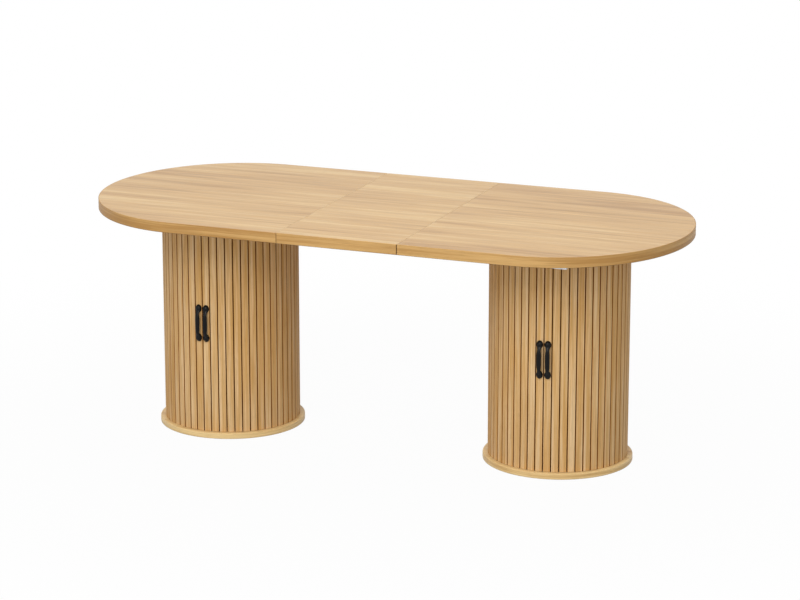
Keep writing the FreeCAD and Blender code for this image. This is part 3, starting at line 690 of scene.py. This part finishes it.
def canvas_sheet(drum, hand):
    """Cloth glued to the backs of a door's slats: an upright line spun round the drum in flat stretches,
    folded at each gap, trimmed level with the outer slats and thickened towards the axis."""
    side = HANDS[hand]
    fold_radius = SLAT_BACK / math.cos(SLAT_PITCH / 2)
    start = meeting_angle(drum)
    axis = Vector((DRUM_X[drum], 0, 0))
    low_corner = axis + fold_radius * outward(start) + Vector((0, 0, CANVAS_LOW))
    deselect_all()
    bpy.ops.mesh.primitive_plane_add(size=1.0, location=(0, 0, 0))
    cloth = bpy.context.object
    cloth.name = f"{drum}_{hand}_door_canvas_cloth"
    edit(cloth)
    bpy.ops.mesh.merge(type="CENTER")  # one vertex to draw out
    bpy.ops.transform.translate(value=low_corner)
    bpy.ops.mesh.extrude_region_move(TRANSFORM_OT_translate={"value": (0, 0, CANVAS_HIGH - CANVAS_LOW)})
    bpy.ops.mesh.select_all(action="SELECT")
    turn = -side * SLAT_PITCH * SLATS_PER_DOOR  # spin counts its angle clockwise
    bpy.ops.mesh.spin(steps=SLATS_PER_DOOR, angle=turn, center=axis, axis=(0, 0, 1))
    for slat, way in ((0, -side), (SLATS_PER_DOOR - 1, side)):
        middle = start + side * SLAT_PITCH * (slat + 0.5)
        along = way * sideways(middle)
        trim(axis + along * CANVAS_HALF_STRETCH, along)
    close_edit()
    add_modifier(cloth, "SOLIDIFY", thickness=CANVAS_THICKNESS, offset=-1.0, use_even_offset=True)
    return cloth


def back_doors():
    """Cloth on the backs of the slats of all four doors, in place of its plain solids."""
    for drum, axis_x in DRUM_X.items():
        weave = canvas_weave(f"{drum}_canvas_weave", axis_x)
        for hand in HANDS:
            door = f"{drum}_{hand}_door"
            cloth = canvas_sheet(drum, hand)
            hand_over(cloth, f"{door}_canvas", door, weave)


# Handles

FOOT_WIDTH = 0.0214
FOOT_LENGTH = 0.0262
FOOT_CROWN = 0.0105
FOOT_PLACE = 0.0480  # from the handle's middle
GRIP_STANDOFF = 0.0118
GRIP_WIDTH = 0.0146
GRIP_THICKNESS = 0.0090
GRIP_HALF = 0.017  # of the stretch at full width
NECK_PLACE = 0.034  # from the handle's middle
NECK_WIDTH = 0.0118
NECK_THICKNESS = 0.0072
NECK_LENGTH = 0.020
NECK_RISE = 0.0045
FOOT_FLARE = 0.0075  # added to the width where the bow meets a foot
BOW_SIDES = 24
BOW_STATIONS = 25
CASTING_VOXEL = 0.0005
CASTING_SMOOTHING = 8  # passes
CASTING_KEPT = 0.3  # share of the triangles


def eased(share):
    """A share from 0 to 1, smooth at both ends."""
    share = min(max(share, 0.0), 1.0)
    return share * share * (3 - 2 * share)


def bow_station(share):
    """Where the bow's middle line is, and its width and thickness there; share runs from -1 to 1."""
    height = share * HANDLE_CENTRES / 2
    lift = eased((HANDLE_CENTRES / 2 - abs(height)) / NECK_LENGTH)
    rise = NECK_RISE + (GRIP_STANDOFF - NECK_RISE) * lift
    fullness = eased((NECK_PLACE - abs(height)) / (NECK_PLACE - GRIP_HALF))
    flare = max((abs(height) - NECK_PLACE) / (HANDLE_CENTRES / 2 - NECK_PLACE), 0.0)
    width = NECK_WIDTH + (GRIP_WIDTH - NECK_WIDTH) * fullness + FOOT_FLARE * flare
    thickness = NECK_THICKNESS + (GRIP_THICKNESS - NECK_THICKNESS) * fullness
    return Vector((rise, 0, height)), width, thickness


def cast_bow():
    """A handle about its own middle: bulbous feet on the face at X 0, and a grip drawn out between
    them."""
    deselect_all()
    middle = (0, 0, 0)
    bpy.ops.mesh.primitive_circle_add(vertices=BOW_SIDES, radius=0.5, fill_type="NGON", location=middle)
    bow = bpy.context.object
    edit(bow)
    place, width, thickness = bow_station(-1.0)
    bpy.ops.transform.resize(value=(thickness, width, 1), center_override=middle)
    bpy.ops.transform.translate(value=place)
    for i in range(1, BOW_STATIONS):
        before = (place, width, thickness)
        place, width, thickness = bow_station(2 * i / (BOW_STATIONS - 1) - 1)
        bpy.ops.mesh.extrude_region_move(TRANSFORM_OT_translate={"value": place - before[0]})
        ratio = (thickness / before[2], width / before[1], 1)
        bpy.ops.transform.resize(value=ratio, center_override=place)
    size = (2 * FOOT_CROWN, FOOT_WIDTH, FOOT_LENGTH)
    for way in HANDS.values():
        bpy.ops.mesh.primitive_uv_sphere_add(radius=0.5, location=(0, 0, way * FOOT_PLACE), scale=size)
    bpy.ops.mesh.select_all(action="SELECT")
    bpy.ops.mesh.bisect(plane_co=middle, plane_no=(-1, 0, 0), use_fill=True, clear_outer=True)
    close_edit()
    add_modifier(bow, "REMESH", mode="VOXEL", voxel_size=CASTING_VOXEL)
    add_modifier(bow, "SMOOTH", factor=0.5, iterations=CASTING_SMOOTHING)
    add_modifier(bow, "DECIMATE", ratio=CASTING_KEPT)
    bpy.ops.object.shade_smooth()
    return bow


def hang_handles():
    """A cast handle on the lead slat of each door."""
    black = cast_black("cast_handle")
    bow = cast_bow()
    for drum, axis_x in DRUM_X.items():
        for hand in HANDS:
            angle = lead_angle(drum, hand)
            door = f"{drum}_{hand}_door"
            foot = Vector((axis_x, 0, HANDLE_HEIGHT)) + DRUM_RADIUS * outward(angle)
            handle = copies(bow, f"{door}_bow_handle", [(foot, (0, 0, angle - math.pi / 2))])
            hand_over(handle, f"{door}_handle", door, black)
    drop(bow)


# Screws

SCREW_SIDES = 20
THREAD_DEPTH_SHARE = 0.22  # of the shank's radius
THREAD_STEP_SHARE = 0.9  # of the shank's radius, from ridge to hollow
CROWN_SHARES = ((0.62, 0.0), (0.88, 0.16), (1.0, 0.5), (1.0, 1.0))  # of the head's radius and height
RECESS_ARM = 1.1  # whole length of a cross's arm, of the head's radius
RECESS_WIDTH = 0.30  # of the head's radius
RECESS_CUT = 1.2  # of the head's height; half of the cutter is in the head
RECESS_TAPER = 0.6
RAIL_SCREW = (0.008, 0.0025, 0.004, 0.020)  # head diameter and height, shank diameter, whole length
PANEL_SCREW = (0.009, 0.003, 0.005, 0.046)
TOP_SCREW = (0.010, 0.003, 0.005, 0.043)
HANDLE_SCREW = (0.0075, 0.002, 0.004, 0.0168)
RAIL_SCREW_XS = (0.2402, 0.4491, 0.6580)
RAIL_SCREW_YS = (-0.35942, 0.30662)
RAIL_SCREW_Z = 0.722
PANEL_SCREW_X = 0.1502  # from a drum's axis
PANEL_SCREW_Y = 0.08164
PANEL_SCREW_LOW = 0.002
TOP_SCREW_PLACE = 0.095  # from a drum's axis, both ways
TOP_SCREW_Z = 0.706
HANDLE_SCREW_RADIUS = 0.2082  # from a drum's axis to the face of the head


def screw_outline(head_radius, head_height, shank_radius, length):
    """A pan head from height 0, then a ridged shank and a point."""
    outline = [(head_radius * wide, head_height * high) for wide, high in CROWN_SHARES]
    step = shank_radius * THREAD_STEP_SHARE
    point = length - 2 * shank_radius
    height = head_height
    outline.append((shank_radius, height))
    while height + 2 * step < point:
        outline.append((shank_radius * (1 - THREAD_DEPTH_SHARE), height + step))
        outline.append((shank_radius, height + 2 * step))
        height += 2 * step
    outline.append((shank_radius * THREAD_DEPTH_SHARE, length))
    return outline


def cross_recess(made, head_radius, head_height):
    """Cuts a tapered cross for the driver into a screw's face at height 0."""
    arm = RECESS_ARM * head_radius
    wide = RECESS_WIDTH * head_radius
    deep = RECESS_CUT * head_height
    deselect_all()
    bpy.ops.mesh.primitive_cube_add(size=1.0, location=(0, 0, 0), scale=(arm, wide, deep))
    cutter = bpy.context.object
    bpy.ops.object.transform_apply(location=False, rotation=False, scale=True)
    edit(cutter)
    bpy.ops.mesh.primitive_cube_add(size=1.0, location=(0, 0, 0), scale=(wide, arm, deep))
    bpy.ops.object.mode_set(mode="OBJECT")
    for vertex in cutter.data.vertices:
        vertex.select = vertex.co.z > 0
    bpy.ops.object.mode_set(mode="EDIT")
    bpy.ops.transform.resize(value=(RECESS_TAPER, RECESS_TAPER, 1), center_override=(0, 0, 0))
    close_edit()
    add_modifier(made, "BOOLEAN", object=cutter, operation="DIFFERENCE", solver="EXACT", use_self=True)
    drop(cutter)


def screw(name, head_diameter, head_height, shank_diameter, length):
    """A cross-head screw that stands on its head."""
    outline = screw_outline(head_diameter / 2, head_height, shank_diameter / 2, length)
    made = turned(name, outline, SCREW_SIDES)
    cross_recess(made, head_diameter / 2, head_height)
    smooth(made)
    return made


def drive_rail_screws(steel):
    """Screws up through the rails into the halves of the top."""
    made = screw("rail_screw", *RAIL_SCREW)
    for side, way in HANDS.items():
        spots = [(way * x, way * y, RAIL_SCREW_Z) for x in RAIL_SCREW_XS for y in RAIL_SCREW_YS]
        group = copies(made, f"{side}_rail_cross_screws", [(spot, UPRIGHT) for spot in spots])
        hand_over(group, f"{side}_rail_screws", f"{side}_half", steel)
    drop(made)


def drive_drum_screws(steel):
    """Screws through both plates into the side panels, and up through the top plate into the table."""
    panel = screw("panel_screw", *PANEL_SCREW)
    top = screw("top_screw", *TOP_SCREW)
    for side in HANDS:
        drum = f"{side}_drum"
        spots = [(DRUM_X[drum] + x, y) for x, y in four(PANEL_SCREW_X, PANEL_SCREW_Y)]
        places = [((x, y, PANEL_SCREW_LOW), UPRIGHT) for x, y in spots]
        places += [((x, y, UNDERSIDE), UPSIDE_DOWN) for x, y in spots]
        group = copies(panel, f"{drum}_panel_cross_screws", places)
        hand_over(group, f"{drum}_panel_screws", f"{side}_half", steel)
        spots = [(DRUM_X[drum] + x, y, TOP_SCREW_Z) for x, y in four(TOP_SCREW_PLACE, TOP_SCREW_PLACE)]
        group = copies(top, f"{drum}_top_cross_screws", [(spot, UPRIGHT) for spot in spots])
        hand_over(group, f"{drum}_top_screws", f"{side}_half", steel)
    drop(panel)
    drop(top)


def drive_handle_screws(steel):
    """Screws from behind the lead slats into the handles' feet."""
    made = screw("handle_screw", *HANDLE_SCREW)
    rises = [Vector((0, 0, way * HANDLE_CENTRES / 2)) for way in HANDS.values()]
    for drum, axis_x in DRUM_X.items():
        for hand in HANDS:
            angle = lead_angle(drum, hand)
            door = f"{drum}_{hand}_door"
            middle = Vector((axis_x, 0, HANDLE_HEIGHT)) + HANDLE_SCREW_RADIUS * outward(angle)
            turn = (0, math.pi / 2, angle - math.pi / 2)
            places = [(middle + rise, turn) for rise in rises]
            group = copies(made, f"{door}_handle_cross_screws", places)
            hand_over(group, f"{door}_handle_screws", door, steel)
    drop(made)


# Pins and glides

PIN_RADIUS = 0.005
PIN_LENGTH = 0.038
PIN_START_X = 0.1822
PIN_YS = (0.240, -0.080)
PIN_Z = 0.7435
PIN_TAPER = 0.0015
PIN_END_SHARES = (0.7, 0.92)  # of the pin's radius, at its end and a third of the taper further on
PIN_FLUTES = 12
FLUTE_SHARE = 0.93  # of the pin's radius, at the bottom of a flute
FLUTE_HALF = 0.1  # of the step from flute to flute, in which a vertex belongs to a flute
SHELF_PIN_RADIUS = 0.0025
SHELF_PIN_LENGTH = 0.016
SHELF_PIN_BEVEL = 0.0004
SHELF_PIN_SIDES = 20
SHELF_PIN_START_X = 0.1342  # from a drum's axis
SHELF_PIN_Y = 0.07537
SHELF_PIN_Z = 0.362
GLIDES = 6
GLIDE_CIRCLE = 0.206
GLIDE_RADIUS = 0.015
GLIDE_THICKNESS = 0.002
GLIDE_EDGE = 0.0006
GLIDE_CROWN = 0.35 * GLIDE_EDGE
GLIDE_SIDES = 40


def fluted_pin():
    """A dowel with rounded ends and flutes along it for glue."""
    end, shoulder = PIN_END_SHARES
    ends = [(end * PIN_RADIUS, 0), (shoulder * PIN_RADIUS, PIN_TAPER / 3), (PIN_RADIUS, PIN_TAPER)]
    outline = ends + [(radius, PIN_LENGTH - height) for radius, height in reversed(ends)]
    pin = turned("pin", outline, 3 * PIN_FLUTES)
    for vertex in pin.data.vertices:
        turn = math.atan2(vertex.co.y, vertex.co.x) * PIN_FLUTES / (2 * math.pi)
        inner = PIN_TAPER / 2 < vertex.co.z < PIN_LENGTH - PIN_TAPER / 2
        vertex.select = inner and abs(turn - round(turn)) < FLUTE_HALF
    for part in list(pin.data.edges) + list(pin.data.polygons):
        part.select = False
    bpy.ops.object.mode_set(mode="EDIT")
    bpy.ops.transform.resize(value=(FLUTE_SHARE, FLUTE_SHARE, 1), center_override=(0, 0, 0))
    close_edit()
    smooth(pin)
    return pin


def fit_pins(beech):
    """Dowels that locate the leaf between the halves."""
    pin = fluted_pin()
    for side, way in HANDS.items():
        places = [((way * PIN_START_X, way * y, PIN_Z), (0, way * math.pi / 2, 0)) for y in PIN_YS]
        group = copies(pin, f"{side}_fluted_pins", places)
        hand_over(group, f"{side}_locating_pins", f"{side}_half", beech)
    drop(pin)


def shelf_pin():
    """A plain pin with bevelled ends."""
    end = SHELF_PIN_RADIUS - SHELF_PIN_BEVEL
    outline = [
        (end, 0),
        (SHELF_PIN_RADIUS, SHELF_PIN_BEVEL),
        (SHELF_PIN_RADIUS, SHELF_PIN_LENGTH - SHELF_PIN_BEVEL),
        (end, SHELF_PIN_LENGTH),
    ]
    pin = turned("shelf_pin", outline, SHELF_PIN_SIDES)
    smooth(pin)
    return pin


def moulded_glide():
    """A flat disc, rounded where it stands on the floor."""
    outline = [
        (GLIDE_RADIUS - GLIDE_EDGE, 0),
        (GLIDE_RADIUS - GLIDE_CROWN, GLIDE_CROWN),
        (GLIDE_RADIUS, GLIDE_EDGE),
        (GLIDE_RADIUS, GLIDE_THICKNESS),
    ]
    glide = turned("glide", outline, GLIDE_SIDES)
    smooth(glide)
    return glide


def fit_small_parts(steel, plastic):
    """Shelf pins in the side panels and glides under the drums."""
    pin = shelf_pin()
    glide = moulded_glide()
    for side in HANDS:
        drum = f"{side}_drum"
        places = []
        for way in HANDS.values():
            for y in (-SHELF_PIN_Y, SHELF_PIN_Y):
                spot = (DRUM_X[drum] + way * SHELF_PIN_START_X, y, SHELF_PIN_Z)
                places.append((spot, (0, way * math.pi / 2, 0)))
        group = copies(pin, f"{drum}_turned_shelf_pins", places)
        hand_over(group, f"{drum}_shelf_pins", f"{side}_half", steel)
        angles = [2 * math.pi * i / GLIDES + math.pi / 2 for i in range(GLIDES)]
        spots = [Vector((DRUM_X[drum], 0, 0)) + GLIDE_CIRCLE * outward(angle) for angle in angles]
        group = copies(glide, f"{drum}_moulded_glides", [(spot, UPRIGHT) for spot in spots])
        hand_over(group, f"{drum}_glides", f"{side}_half", plastic)
    drop(pin)
    drop(glide)


# Studio


def place_camera():
    """The photo's point of view."""
    camera = bpy.data.cameras.new("camera")
    camera.lens = CAMERA_LENS
    camera.clip_end = CAMERA_REACH
    holder = bpy.data.objects.new("camera", camera)
    holder.location = CAMERA_PLACE
    holder.rotation_euler = (math.pi / 2 - CAMERA_TILT, 0, CAMERA_TURN)
    bpy.context.scene.collection.objects.link(holder)
    bpy.context.scene.camera = holder


def lay_floor():
    """A plain floor that shows the table's shadow and fades into the white background."""
    deselect_all()
    bpy.ops.mesh.primitive_plane_add(size=FLOOR_SIZE, location=(0, 0, 0))
    floor = bpy.context.object
    floor.name = "studio_floor"
    material, tree, coords = new_material("studio_floor")
    path = add_node(tree, "ShaderNodeLightPath").outputs
    seen = math_node(tree, "MAXIMUM", path["Is Camera Ray"], path["Is Glossy Ray"])
    plain = add_node(tree, "ShaderNodeBsdfDiffuse", {"Color": FLOOR_GREY}).outputs[0]
    white = add_node(tree, "ShaderNodeEmission", {"Color": WHITE, "Strength": 1.0}).outputs[0]
    whiteness = ranged(tree, length_of(tree, coords), FLOOR_NEAR, FLOOR_FAR, FLOOR_WHITENESS, 1.0)
    share = math_node(tree, "MULTIPLY", seen, whiteness)
    both = add_node(tree, "ShaderNodeMixShader", {0: share, 1: plain, 2: white}).outputs[0]
    add_node(tree, "ShaderNodeOutputMaterial", {"Surface": both})
    floor.data.materials.append(material)


def light_world():
    """Plain white where it is seen or mirrored, and a softer fill for the rest."""
    world = bpy.data.worlds.new("studio")
    bpy.context.scene.world = world
    world.use_nodes = True
    tree = world.node_tree
    tree.nodes.clear()
    path = add_node(tree, "ShaderNodeLightPath").outputs
    seen = math_node(tree, "MAXIMUM", path["Is Camera Ray"], path["Is Glossy Ray"])
    seen = math_node(tree, "MAXIMUM", seen, path["Is Transmission Ray"])
    strength = ranged(tree, seen, 0.0, 1.0, WORLD_FILL, WORLD_SEEN)
    sky = add_node(tree, "ShaderNodeBackground", {"Color": WHITE, "Strength": strength}).outputs[0]
    add_node(tree, "ShaderNodeOutputWorld", {"Surface": sky})


def hang_softboxes():
    """Large soft lights in front of the table and above it."""
    for name, place, size, power in SOFTBOXES:
        lamp = bpy.data.lights.new(name, "AREA")
        lamp.size = size
        lamp.energy = power
        box = bpy.data.objects.new(name, lamp)
        box.location = place
        box.rotation_euler = (LIGHT_AIM - Vector(place)).to_track_quat("-Z", "Y").to_euler()
        bpy.context.scene.collection.objects.link(box)


bpy.context.scene.view_settings.view_transform = "Standard"
place_camera()
lay_floor()
light_world()
hang_softboxes()
finish_cad()
back_doors()
hang_handles()
zinc = zinc_steel("zinc_screw")
drive_rail_screws(zinc)
drive_drum_screws(zinc)
drive_handle_screws(zinc)
fit_pins(turned_beech("turned_pin"))
fit_small_parts(zinc, moulded_black("moulded_glide"))
